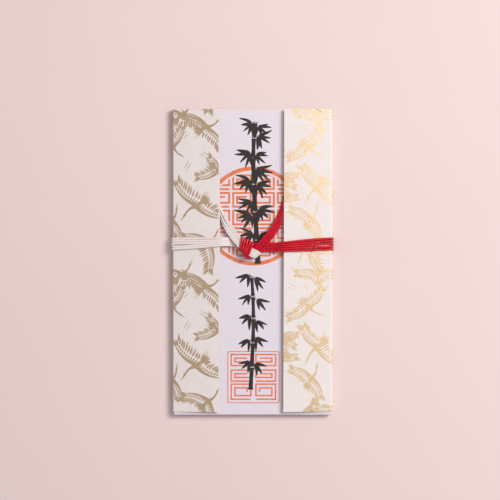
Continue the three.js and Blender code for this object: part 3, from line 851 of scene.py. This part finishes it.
vermilion, tree, shader = finish_named("vermilion_seal_ink")
spot = place_on(tree)
along = node(tree, "ShaderNodeSeparateXYZ", {0: spot}).outputs["Y"]
upwards = ranged(tree, along, (SEALS_LOW_Y * MM, SEALS_TOP_Y * MM))
even = mixed(tree, upwards, colour(234, 118, 84), colour(230, 116, 60))
thin = ranged(tree, clouds(tree, spot, scale=300, detail=4), (0.42, 0.72), (0, 0.45))
grain = clouds(tree, spot, scale=2600, detail=2)
feed(tree, shader, {"Base Color": mixed(tree, thin, even, colour(238, 178, 148)), "Roughness": 0.6,
                    "Normal": relief(tree, grain, strength=0.2, depth=0.03)})
printed("round_seal", round_ink, SEAL_LIFT, vermilion)
printed("square_seal", square_ink, SEAL_LIFT, vermilion)

sumi, tree, shader = finish_named("black_brush_ink")
spot = place_on(tree)
wet = clouds(tree, spot, scale=240, detail=5)
pulled = node(tree, "ShaderNodeMapping", {"Vector": spot, "Rotation": (0, 0, 0.12),
                                          "Scale": (1, 0.06, 1)}).outputs[0]
hairs = clouds(tree, pulled, scale=2400, detail=2)
dry = ranged(tree, hairs, (0.58, 0.72), (0, 0.4))
tone = mixed(tree, wet, colour(22, 15, 14), colour(48, 37, 33))
feed(tree, shader, {"Base Color": mixed(tree, dry, tone, colour(104, 92, 90)),
                    "Roughness": ranged(tree, wet, target=(0.45, 0.75)),
                    "Normal": relief(tree, hairs, strength=0.2, depth=0.03)})
STEM_SHARES, STEM_WIDTHS = (0, 0.03, 0.12, 0.5, 0.88, 0.97, 1), (0.8, 1.25, 1, 0.86, 1, 1.25, 0.8)
JOINT_WIDTHS, JOINT_GAP = (0.2, 0.32, 0.4, 0.42, 0.4, 0.32, 0.2), 0.45
JOINT_SHARE, JOINT_FOOT, JOINT_CREST = 0.75, 0.35, 0.9
TWIG_WIDTHS = (0.6, 0.55, 0.5, 0.5, 0.45, 0.4, 0.35)
leaf_chance = random.Random(11).uniform


def stem_length(bm, low, top, width):
    """One length of the stem between two joints, pressed at its ends, and the mark of the upper
    joint."""
    along = (top - low).normalized()
    across = Vector((along.y, -along.x)) * width * JOINT_SHARE
    low, top = low + along * JOINT_GAP, top - along * JOINT_GAP
    brush(bm, [low.lerp(top, share) for share in STEM_SHARES], [width * w for w in STEM_WIDTHS])
    brush(bm, arc(top - across + along * JOINT_FOOT, top + along * JOINT_CREST,
                  top + across + along * JOINT_FOOT), JOINT_WIDTHS)


def spray(bm, root, side, size, angles):
    """A twig off the stem with a spray of hanging leaves."""
    root = Vector(root)
    knee = root + Vector((side * leaf_chance(1.6, 2.6), leaf_chance(1, 2.2))) * size
    brush(bm, arc(root, root + Vector((side * 0.8, 1.6)) * size, knee), TWIG_WIDTHS)
    for angle in angles:
        angle += leaf_chance(-7, 7)
        out = bearing(angle if side > 0 else 180 - angle)
        length, width = leaf_chance(7.4, 10.4) * size, leaf_chance(1.7, 2.4) * size
        blade(bm, knee + out * 0.3, knee + out * length, width, segments=20,
              bow=leaf_chance(-0.5, 0.5) * size)


# The stems' joints from the root up. A spray is given by its root, side and size, and its leaves
# by their angles.
UPPER_STEM = ((3.2, -1.6), (2.6, 13.2), (1.5, 30), (0.7, 46.5), (0.4, 62), (0.8, 74), (1.8, 83.2))
LOWER_STEM = ((-1.2, -76.6), (-0.4, -62.5), (0.3, -48), (0.6, -33.5), (0.3, -20.5), (-0.5, -9))
UPPER_SPRAYS = (
    (1.6, 81.5, -1, 0.9), (1.5, 80, 1, 0.8), (0.9, 73.6, 1, 0.98), (0.5, 64, -1, 1),
    (0.4, 62, 1, 0.85), (0.5, 54.5, 1, 1.02), (0.6, 46.8, -1, 1), (0.9, 44, 1, 0.95),
    (1.2, 34.5, -1, 0.9), (1.4, 30.2, 1, 1.02), (1.6, 27, -1, 1), (2.4, 14.6, 1, 0.8),
    (2.4, 16, -1, 0.9),
)
LOWER_SPRAYS = (
    (-0.5, -9.2, -1, 0.85), (-0.3, -11, 1, 0.86), (0.2, -20.6, -1, 0.8), (0.4, -23.5, 1, 0.9),
    (0.6, -33.6, -1, 0.92), (0.6, -36.5, 1, 0.82), (0.3, -48.2, -1, 0.9), (0.2, -46.4, 1, 0.92),
    (-0.3, -60.4, -1, 0.84), (-0.4, -62.6, 1, 0.95),
)
FULL_SPRAY, LIGHT_SPRAY = (-98, -66, -38, -12, 16), (-84, -50, -18)
stem = bmesh.new()
for points, width, taper in ((UPPER_STEM, 3.3, 0.012), (LOWER_STEM, 2.6, 0.01)):
    for low, top in zip(points, points[1:]):
        stem_length(stem, Vector(low), Vector(top), width - taper * (low[1] - points[0][1]))
for v in stem.verts:
    v.co.z = 0  # under every leaf
for sprays, angles in ((UPPER_SPRAYS, FULL_SPRAY), (LOWER_SPRAYS, LIGHT_SPRAY)):
    for x, y, side, size in sprays:
        spray(stem, (x, y), side, size, angles)
printed("bamboo_painting", stem, INK_LIFT, sumi)

# The talisman in the packet: a planed slip of cypress in an open sleeve of thin paper. Both are
# the frame's own solids, which have the real shape, and get their wood and paper here.
cypress, tree, shader = finish_named("planed_cypress")
drawn = node(tree, "ShaderNodeMapping", {"Vector": place_on(tree),
                                         "Scale": (1, 0.035, 1)}).outputs[0]
rings = clouds(tree, drawn, scale=420, detail=3, distortion=0.4)
late = ranged(tree, rings, (0.35, 0.65))
pores = clouds(tree, drawn, scale=5200, detail=2)
wood = mixed(tree, late, colour(232, 204, 160), colour(209, 170, 120))
fleck = ranged(tree, pores, (0.6, 0.75), (0, 0.35))
feed(tree, shader, {"Base Color": mixed(tree, fleck, wood, colour(176, 132, 84)),
                    "Roughness": ranged(tree, late, target=(0.62, 0.48)),
                    "Normal": relief(tree, pores, strength=0.3, depth=0.05)})
thin_paper = paper_finish("thin_paper", pale=colour(240, 236, 228), shade=colour(226, 220, 210),
                          fibre=colour(250, 248, 242), fibre_scale=200, roughness=0.66, tooth=0.4)
for solid, finish in (("talisman_board", cypress), ("talisman_wrap", thin_paper)):
    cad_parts[solid].data.materials.clear()
    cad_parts[solid].data.materials.append(finish)

# The tape at the back: a strip of stout paper that goes once round the joined cords and is glued.
TAPE_LENGTH, TAPE_HEIGHT, TAPE_TOP_Z, TAPE_PAPER, TAPE_EDGE = 24, 9, 1.32, 0.12, 0.5
WELD_DISTANCE = 0.000001
tape_paper = paper_finish("tape_paper", pale=colour(240, 232, 222), shade=colour(228, 217, 205),
                          fibre=colour(247, 241, 232), fibre_scale=240, roughness=0.78, tooth=0.5)
turn = (TAPE_EDGE * math.pi / 2, -90)
flat, upright = TAPE_HEIGHT - 2 * TAPE_EDGE, TAPE_TOP_Z - 2 * TAPE_EDGE
TAPE_LEGS = [(flat / 2, 0), turn, (upright, 0), turn, (flat, 0), turn, (upright, 0), turn,
             (flat / 2, 0)]
tape_at, tape_stops = folded((-BACK_RUN_Y, 0), 180, TAPE_LEGS)
bm = cut_sheet(0, tape_stops[-1], -TAPE_LENGTH / 2, TAPE_LENGTH / 2)
scored(bm, TAPE_LEGS, tape_stops)
bent(bm, tape_at, end_fold=True)
bmesh.ops.remove_doubles(bm, verts=bm.verts, dist=WELD_DISTANCE)
tape = piece("back_tape", bm, tape_paper, thickness=TAPE_PAPER)
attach(tape, "mizuhiki")
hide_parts("mizuhiki_back_tape")
